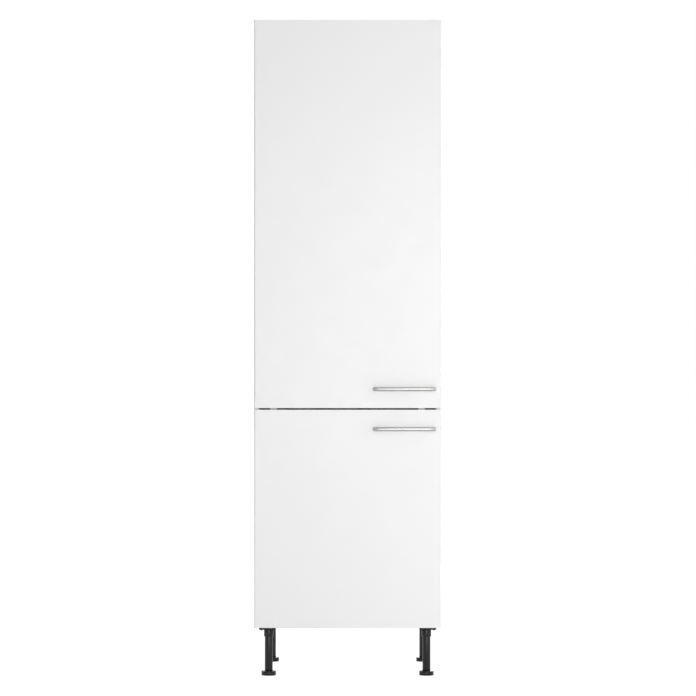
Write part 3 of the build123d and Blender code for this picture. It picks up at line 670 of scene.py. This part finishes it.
def make_sockets():
    """The four sockets: a flange under the bottom panel and a tapered collar round the tube."""
    bm = bmesh.new()
    tube_boxes = solid_boxes("leg_tubes")
    tube_low, tube_high = tube_boxes[0]
    inner = (tube_high.x - tube_low.x) / 2 + TUBE_FIT
    for low, high in solid_boxes("leg_sockets"):
        tube = nearest(middle((low, high)), [middle(box) for box in tube_boxes])
        flange_low = high.z - SOCKET_BASE_HEIGHT
        outline = rounded_outline(rectangle(low.x, high.x, low.y, high.y), SOCKET_BASE_CORNER)
        add_prism(bm, outline, 2, flange_low, high.z)
        collar_top = flange_low + SOFT_EDGE
        section = [(COLLAR_RADIUS, collar_top), (COLLAR_RADIUS, low.z + COLLAR_TAPER),
                   (COLLAR_RADIUS - COLLAR_TAPER, low.z), (inner, low.z), (inner, collar_top)]
        section = rounded_outline(section, FINE_EDGE, BEVEL_STEPS)
        add_turned_ring(bm, section, Vector((tube.x, tube.y, 0)))
    finish_piece(bm, "leg_socket_mouldings", "leg_sockets")


def make_foot(node):
    """A screw foot: rounded sole, lobed grip band, plain rim and a threaded stem."""
    low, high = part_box(node)
    radius = (high.x - low.x) / 2
    rim_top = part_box("leg_tubes")[0].z - FOOT_GAP
    band_top = rim_top - FOOT_RIM
    profile = rounded((radius, 0), (0, 0), (radius, rim_top), FOOT_SOLE_ROUND)
    profile.append((radius, band_top))
    lobes_to = len(profile)
    profile += [(radius - FINE_EDGE, band_top + FINE_EDGE), (radius, band_top + SOFT_EDGE)]
    profile += rounded((radius, rim_top), (radius, band_top), (STEM_RADIUS, rim_top), FOOT_RIM_ROUND)
    profile += [(STEM_RADIUS, rim_top), (STEM_RADIUS - SOFT_EDGE, rim_top + SOFT_EDGE)]
    thread_from = len(profile)
    row_height = STEM_PITCH / STEM_ROWS_PER_PITCH
    thread_low = rim_top + 2 * SOFT_EDGE
    thread_rows = int((high.z - SOFT_EDGE - thread_low) / row_height)
    profile += [(STEM_RADIUS, thread_low + i * row_height) for i in range(thread_rows)]
    thread_to = len(profile)
    profile.append((STEM_RADIUS - STEM_THREAD, high.z))

    def ripple(row, angle):
        """How far a row of the foot lies inside its profile: the grip's lobes, and the stem's thread."""
        if row < lobes_to:
            return FOOT_LOBE_DEPTH * (1 - abs(math.sin(FOOT_LOBES * angle / 2))) ** 2
        if thread_from <= row < thread_to:
            phase = ((row - thread_from) / STEM_ROWS_PER_PITCH - angle / (2 * math.pi)) % 1
            return STEM_THREAD * abs(2 * phase - 1)
        return 0

    bm = bmesh.new()
    add_turned(bm, profile, floor_point((low, high)), steps=FOOT_STEPS, ripple=ripple)
    finish_piece(bm, f"{node}_moulding", node)


# Screws and cam discs

def cross_outline(reach, arm):
    """The twelve corners of a cross."""
    quarter = ((reach, -arm), (reach, arm), (arm, arm))
    points = []
    for turn in range(4):
        along, across = round(math.cos(turn * math.pi / 2)), round(math.sin(turn * math.pi / 2))
        points += [(x * along - y * across, x * across + y * along) for x, y in quarter]
    return points


def add_cross_headed(bm, top, facing, profile, head_radius, depth):
    """A turned solid whose last row is the rim of its flat top, which has a cross recess."""
    rings = add_ring_rows(bm, ring_points(profile, top, facing, SMALL_STEPS))
    bm.faces.new(rings[0])
    turn = UP.rotation_difference(facing).to_matrix()
    mouth = cross_outline(head_radius * RECESS_REACH_SHARE, head_radius * RECESS_ARM_SHARE)
    rows = [[top + turn @ Vector((x * share, y * share, height)) for x, y in mouth]
            for share, height in ((1, 0), (RECESS_NARROWING_SHARE, -depth))]
    recess = add_ring_rows(bm, rows)
    bm.faces.new(recess[-1])
    rims = []
    for ring in (rings[-1], recess[0]):
        rims += [bm.edges.get((a, b)) for a, b in zip(ring, ring[1:] + ring[:1])]
    bmesh.ops.triangle_fill(bm, edges=rims, use_beauty=True, normal=facing)


def make_screws(node, kind):
    """All screws of one node: pan heads with a cross recess on shanks that end in a blunt point."""
    facing, head_height, shank = SCREW_KINDS[kind]
    bm = bmesh.new()
    for box in solid_boxes(node):
        size = box[1] - box[0]
        length = abs(size.dot(facing))
        radius = max(size - facing * size.dot(facing)) / 2
        top = middle(box) + facing * length / 2
        land = radius * HEAD_LAND_SHARE
        rim, crown = (radius, -head_height), (radius, 0)
        crown_round = min(head_height, radius - land) * HEAD_ROUND_SHARE
        profile = [(shank * SCREW_TIP_SHARE, -length), (shank, -length + shank), (shank, -head_height)]
        profile += rounded(rim, (shank, -head_height), crown, FINE_EDGE, BEVEL_STEPS)
        profile += rounded(crown, rim, (land, 0), crown_round)
        profile.append((land, 0))
        add_cross_headed(bm, top, facing, profile, radius, head_height * RECESS_DEPTH_SHARE)
    finish_piece(bm, f"{node}_with_recess", node)


def make_cam_discs():
    """The cam discs, flush in their panels, with a cross recess on the open face."""
    bm = bmesh.new()
    for box in solid_boxes("cam_discs"):
        facing = UP if cabinet_top - box[1].z < SOFT_EDGE else DOWN
        depth = box[1].z - box[0].z
        radius = (box[1].x - box[0].x) / 2
        profile = [(radius, -depth), (radius, -SOFT_EDGE), (radius - SOFT_EDGE, 0)]
        top = middle(box) + facing * depth / 2
        add_cross_headed(bm, top, facing, profile, radius, CAM_RECESS_DEPTH)
    finish_piece(bm, "cam_discs_with_recess", "cam_discs")


# Hinges

def make_hinge_plates():
    """Mounting plates: a winged base on the side panel and a narrow ridge under the arm."""
    bm = bmesh.new()
    screws = [middle(box) for box in solid_boxes("plate_screws")]
    base = PLATE_RIDGE_WIDTH / 2 + PLATE_CORNER
    for low, high in solid_boxes("hinge_plates"):
        z = (low.z + high.z) / 2
        screw_y = nearest(middle((low, high)), screws).y
        wing = (screw_y - PLATE_WING_LENGTH / 2, screw_y + PLATE_WING_LENGTH / 2)
        corners = [(low.y, -base), (wing[0], -base), (wing[0], low.z - z), (wing[1], low.z - z),
                   (wing[1], -base), (high.y, -base), (high.y, base), (wing[1], base),
                   (wing[1], high.z - z), (wing[0], high.z - z), (wing[0], base), (low.y, base)]
        outline = [(y, z + rise) for y, rise in rounded_outline(corners, PLATE_CORNER)]
        add_prism(bm, outline, 0, low.x, low.x + PLATE_SHEET, FINE_EDGE)
        ridge = rectangle(low.y + FINE_EDGE, high.y - FINE_EDGE,
                          z - PLATE_RIDGE_WIDTH / 2, z + PLATE_RIDGE_WIDTH / 2)
        add_prism(bm, ridge, 0, low.x + PLATE_SHEET / 2, high.x, PLATE_RIDGE_EDGE)
    finish_piece(bm, "pressed_hinge_plates", "hinge_plates")


def make_hinge_arms():
    """Arms folded from sheet: a web over the plate's ridge, and two cheeks that reach out to the pin."""
    bm = bmesh.new()
    pins = [middle(box) for box in solid_boxes("arm_pins")]
    for low, high in solid_boxes("hinge_arms"):
        pin = nearest(middle((low, high)), pins)
        web_front = carcass_front + ARM_WEB_SETBACK
        nose = []
        for i in range(SMALL_STEPS // 2 + 1):
            angle = -math.pi * i / (SMALL_STEPS // 2)
            nose.append((pin.x + ARM_NOSE * math.cos(angle), pin.y + ARM_NOSE * math.sin(angle)))
        cheek = [(low.x, high.y), (high.x, high.y), (high.x, web_front), *nose,
                 (low.x, carcass_front + ARM_FOOT_SETBACK)]
        for cheek_low in (low.z, high.z - ARM_SHEET):
            add_prism(bm, cheek, 2, cheek_low, cheek_low + ARM_SHEET, FINE_EDGE)
        web = rectangle(web_front, high.y, low.z + FINE_EDGE, high.z - FINE_EDGE)
        add_prism(bm, rounded_outline(web, SOFT_EDGE), 0, high.x - ARM_SHEET, high.x, FINE_EDGE)
    finish_piece(bm, "folded_hinge_arms", "hinge_arms")


def make_links(door):
    """Gooseneck links: a bent strap with a rolled eye at each end."""
    bm = bmesh.new()
    arm_pins = [middle(box) for box in solid_boxes("arm_pins")]
    cup_pins = [middle(box) for box in solid_boxes(f"{door}_cup_pins")]
    for low, high in solid_boxes(f"{door}_hinge_links"):
        centre = middle((low, high))
        arm_pin, cup_pin = nearest(centre, arm_pins), nearest(centre, cup_pins)
        start, end = Vector((cup_pin.x, cup_pin.y)), Vector((arm_pin.x, arm_pin.y))
        chord = end - start
        side = Vector((chord.y, -chord.x))
        corners = [start + chord * along + side * bow for along, bow in LINK_BOW_SHARES]
        inner_start = start + (corners[0] - start).normalized() * LINK_EYE
        inner_end = end + (corners[-1] - end).normalized() * LINK_EYE
        route = rounded_route([inner_start, *corners, inner_end], LINK_BEND)
        route = [Vector(point) for point in route]
        left, right = [], []
        for i, point in enumerate(route):
            ahead, behind = route[min(i + 1, len(route) - 1)], route[max(i - 1, 0)]
            along = (ahead - behind).normalized()
            across = Vector((-along.y, along.x)) * LINK_SHEET / 2
            left.append(tuple(point + across))
            right.append(tuple(point - across))
        add_prism(bm, left + right[::-1], 2, low.z, high.z, FINE_EDGE)
        for pin in (start, end):
            section = ring_section(LINK_EYE, LINK_EYE_BORE, low.z, high.z, FINE_EDGE / 2)
            add_turned_ring(bm, section, Vector((pin.x, pin.y, 0)), steps=SMALL_STEPS)
    finish_piece(bm, f"{door}_gooseneck_links", f"{door}_hinge_links")


def make_arm_pins():
    """The rivets that the links turn on, headed over the arms' cheeks."""
    bm = bmesh.new()
    for low, high in solid_boxes("arm_pins"):
        radius = (high.x - low.x) / 2
        profile = [(radius, low.z), (RIVET_RADIUS, low.z), (RIVET_RADIUS, low.z - RIVET_HEAD / 2),
                   (radius, low.z - RIVET_HEAD)][::-1]
        profile += [(radius, high.z), (RIVET_RADIUS, high.z), (RIVET_RADIUS, high.z + RIVET_HEAD / 2),
                    (radius, high.z + RIVET_HEAD)]
        add_turned(bm, profile, floor_point((low, high)))
    finish_piece(bm, "arm_rivets", "arm_pins")


def make_cup_pins(door):
    """The plain pins across the cups."""
    bm = bmesh.new()
    for low, high in solid_boxes(f"{door}_cup_pins"):
        radius = (high.x - low.x) / 2
        profile = [(radius - FINE_EDGE, low.z), (radius, low.z + FINE_EDGE),
                   (radius, high.z - FINE_EDGE), (radius - FINE_EDGE, high.z)]
        add_turned(bm, profile, floor_point((low, high)))
    finish_piece(bm, f"{door}_round_cup_pins", f"{door}_cup_pins")


def cup_wing(centre, reach, opening, side):
    """The outline of one of a cup's two screw wings, with a hollow side round the cup's opening."""
    left, right = -CUP_PLATE_LEFT, CUP_PLATE_RIGHT
    points = rounded((right, reach), (right, 0), (left, reach), CUP_PLATE_CORNER)
    points += rounded((left, reach), (right, reach), (left, 0), CUP_PLATE_CORNER)
    first, last = math.acos(left / opening), math.acos(right / opening)
    for i in range(SMALL_STEPS + 1):
        angle = first + (last - first) * i / SMALL_STEPS
        points.append((opening * math.cos(angle), opening * math.sin(angle)))
    return [(centre.x + x, centre.z + side * z) for x, z in points]


def make_cups(door):
    """Deep-drawn cups with a round bottom edge and a screw wing above and below."""
    bm = bmesh.new()
    for low, high in solid_boxes(f"{door}_hinge_cups"):
        centre = middle((low, high))
        outer = (high.x - low.x) / 2
        inner = outer - CUP_WALL
        depth = high.y - CUP_SHEET - low.y
        corner_in, corner_out = (inner, CUP_WALL), (outer, 0)
        profile = rounded(corner_out, (0, 0), (outer, depth), CUP_BOTTOM_ROUND)
        profile += rounded((outer, depth), corner_out, (inner, depth), FINE_EDGE, BEVEL_STEPS)
        profile += rounded((inner, depth), (outer, depth), corner_in, FINE_EDGE, BEVEL_STEPS)
        profile += rounded(corner_in, (inner, depth), (0, CUP_WALL), CUP_BOTTOM_ROUND - CUP_WALL)
        bottom = Vector((centre.x, low.y, centre.z))
        add_turned(bm, profile, bottom, BACK, ROUND_STEPS)
        for side in (-1, 1):
            outline = cup_wing(centre, high.z - centre.z, inner, side)
            add_prism(bm, outline, 1, high.y - CUP_SHEET, high.y, FINE_EDGE)
    finish_piece(bm, f"{door}_drawn_cups", f"{door}_hinge_cups")


# Small fittings

def make_shelf_pins():
    """Shelf pins: a peg in the side and a rest with a flat top and a round underside."""
    bm = bmesh.new()
    for low, high in solid_boxes("shelf_pins"):
        centre = middle((low, high))
        inwards = -1 if centre.x > 0 else 1
        tip = high.x if inwards > 0 else low.x
        face = tip - inwards * SHELF_REST_OUT
        peg_end = low.x if inwards > 0 else high.x
        peg_length = abs(face - peg_end) + SOFT_EDGE
        profile = [(SHELF_PIN_RADIUS - SOFT_EDGE, 0), (SHELF_PIN_RADIUS, SOFT_EDGE),
                   (SHELF_PIN_RADIUS, peg_length)]
        add_turned(bm, profile, Vector((peg_end, centre.y, centre.z)), RIGHT * inwards)
        half = (high.y - low.y) / 2
        round_top = high.z - SHELF_REST_SIDE
        outline = [(high.y, high.z), (low.y, high.z)]
        for i in range(SMALL_STEPS // 2 + 1):
            angle = math.pi + math.pi * i / (SMALL_STEPS // 2)
            rise = (round_top - low.z) * math.sin(angle)
            outline.append((centre.y + half * math.cos(angle), round_top + rise))
        add_prism(bm, outline, 0, *sorted((face, tip)))
    finish_piece(bm, "shelf_pins_with_rests", "shelf_pins")


def make_door_stops():
    """Two plastic blocks with soft edges on the fixed shelf."""
    bm = bmesh.new()
    for low, high in solid_boxes("door_stops"):
        outline = rounded_outline(rectangle(low.x, high.x, low.y, high.y), STOP_CORNER)
        add_prism(bm, outline, 2, low.z, high.z, STOP_EDGE)
    finish_piece(bm, "moulded_door_stops", "door_stops")


def make_bumpers(door):
    """Domed pads on the door's back."""
    bm = bmesh.new()
    for low, high in solid_boxes(f"{door}_door_bumpers"):
        radius = (high.x - low.x) / 2
        height = high.y - low.y
        profile = []
        for i in range(CORNER_STEPS + 1):
            angle = math.pi / 2 * i / (CORNER_STEPS + 1)
            profile.append((radius * math.cos(angle), height * math.sin(angle)))
        profile.append((radius * math.cos(angle) * BUMPER_TOP_SHARE, height))
        centre = middle((low, high))
        add_turned(bm, profile, Vector((centre.x, low.y, centre.z)), BACK)
    finish_piece(bm, f"{door}_domed_bumpers", f"{door}_door_bumpers")


make_tubes()
make_sockets()
for foot_node in sorted(name for name in frame["nodes"] if name.startswith("foot_")):
    make_foot(foot_node)

for door_name in ("upper", "lower"):
    make_handle(door_name)
    make_links(door_name)
    make_cup_pins(door_name)
    make_cups(door_name)
    make_bumpers(door_name)
    make_screws(f"{door_name}_cup_screws", "cup_screws")
    make_screws(f"{door_name}_handle_screws", "handle_screws")

for screw_node in ("plate_screws", "arm_screws", "leg_screws", "bracket_screws"):
    make_screws(screw_node, screw_node)

make_hinge_plates()
make_hinge_arms()
make_arm_pins()
make_cam_discs()
make_shelf_pins()
make_door_stops()


# Stage, lights and camera

def add_seen_mask(material):
    """One for camera, glossy and transmission rays, and nought for the rays that light the object."""
    links = material.node_tree.links
    path = add_node(material, "ShaderNodeLightPath")
    direct = add_node(material, "ShaderNodeMath", operation="MAXIMUM")
    links.new(path.outputs["Is Camera Ray"], direct.inputs[0])
    links.new(path.outputs["Is Glossy Ray"], direct.inputs[1])
    seen = add_node(material, "ShaderNodeMath", operation="MAXIMUM")
    links.new(direct.outputs[0], seen.inputs[0])
    links.new(path.outputs["Is Transmission Ray"], seen.inputs[1])
    return seen.outputs[0]


def make_stage():
    """A white floor that keeps the object's soft shadow and goes over into the white world."""
    bm = bmesh.new()
    bmesh.ops.create_grid(bm, x_segments=1, y_segments=1, size=FLOOR_REACH)
    mesh = bpy.data.meshes.new("floor")
    bm.to_mesh(mesh)
    bm.free()
    floor = bpy.data.objects.new("floor", mesh)
    bpy.context.scene.collection.objects.link(floor)
    material, shader = new_material("floor_white", FLOOR_COLOUR, FLOOR_ROUGHNESS, specular=0)
    links = material.node_tree.links
    place = add_node(material, "ShaderNodeTexCoord")
    reach = add_node(material, "ShaderNodeVectorMath", operation="LENGTH")
    links.new(place.outputs["Object"], reach.inputs[0])
    glow = add_node(material, "ShaderNodeEmission")
    fade = ramp_between(material, reach.outputs["Value"], FLOOR_GLOW_NEAR, FLOOR_GLOW_FAR,
                        FLOOR_FADE_START, FLOOR_FADE_END)
    links.new(fade, glow.inputs["Strength"])
    shadow_catcher = add_node(material, "ShaderNodeBsdfDiffuse", Color=(*FLOOR_SHADOW_TONE, 1))
    both = add_node(material, "ShaderNodeAddShader")
    links.new(glow.outputs[0], both.inputs[0])
    links.new(shadow_catcher.outputs[0], both.inputs[1])
    mix = add_node(material, "ShaderNodeMixShader")
    links.new(add_seen_mask(material), mix.inputs[0])
    links.new(shader.outputs[0], mix.inputs[1])
    links.new(both.outputs[0], mix.inputs[2])
    links.new(mix.outputs[0], material.node_tree.nodes["Material Output"].inputs["Surface"])
    mesh.materials.append(material)


def make_world():
    """An even pale surround, which the camera and the reflections see as pure white."""
    world = bpy.data.worlds.new("studio")
    bpy.context.scene.world = world
    world.use_nodes = True
    links = world.node_tree.links
    background = world.node_tree.nodes["Background"]
    background.inputs["Color"].default_value = WHITE
    background.inputs["Strength"].default_value = AMBIENT
    white = add_node(world, "ShaderNodeBackground", Color=WHITE, Strength=1)
    mix = add_node(world, "ShaderNodeMixShader")
    links.new(add_seen_mask(world), mix.inputs[0])
    links.new(background.outputs[0], mix.inputs[1])
    links.new(white.outputs[0], mix.inputs[2])
    links.new(mix.outputs[0], world.node_tree.nodes["World Output"].inputs["Surface"])


def add_softbox(name, place, target, width, height, power):
    """A rectangular soft light aimed at a point."""
    light = bpy.data.lights.new(name, "AREA")
    light.shape = "RECTANGLE"
    light.size = width
    light.size_y = height
    light.energy = power
    lamp = bpy.data.objects.new(name, light)
    bpy.context.scene.collection.objects.link(lamp)
    lamp.location = place
    direction = Vector(target) - Vector(place)
    lamp.rotation_euler = direction.to_track_quat("-Z", "Y").to_euler()


def make_camera():
    """The camera of the photograph, level and square to the doors."""
    door_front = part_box("upper_door")[0].y
    camera = bpy.data.objects.new("camera", bpy.data.cameras.new("camera"))
    bpy.context.scene.collection.objects.link(camera)
    camera.location = (CAMERA_RIGHT, door_front - CAMERA_DISTANCE, CAMERA_HEIGHT)
    camera.rotation_euler = (math.pi / 2, 0, 0)
    camera.data.lens = CAMERA_LENS
    camera.data.sensor_width = SENSOR_WIDTH
    camera.data.clip_end = CAMERA_CLIP_END
    bpy.context.scene.camera = camera


make_stage()
make_world()
for softbox_name, softbox in SOFTBOXES.items():
    add_softbox(softbox_name, *softbox)
make_camera()

bpy.context.scene.view_settings.view_transform = "Standard"
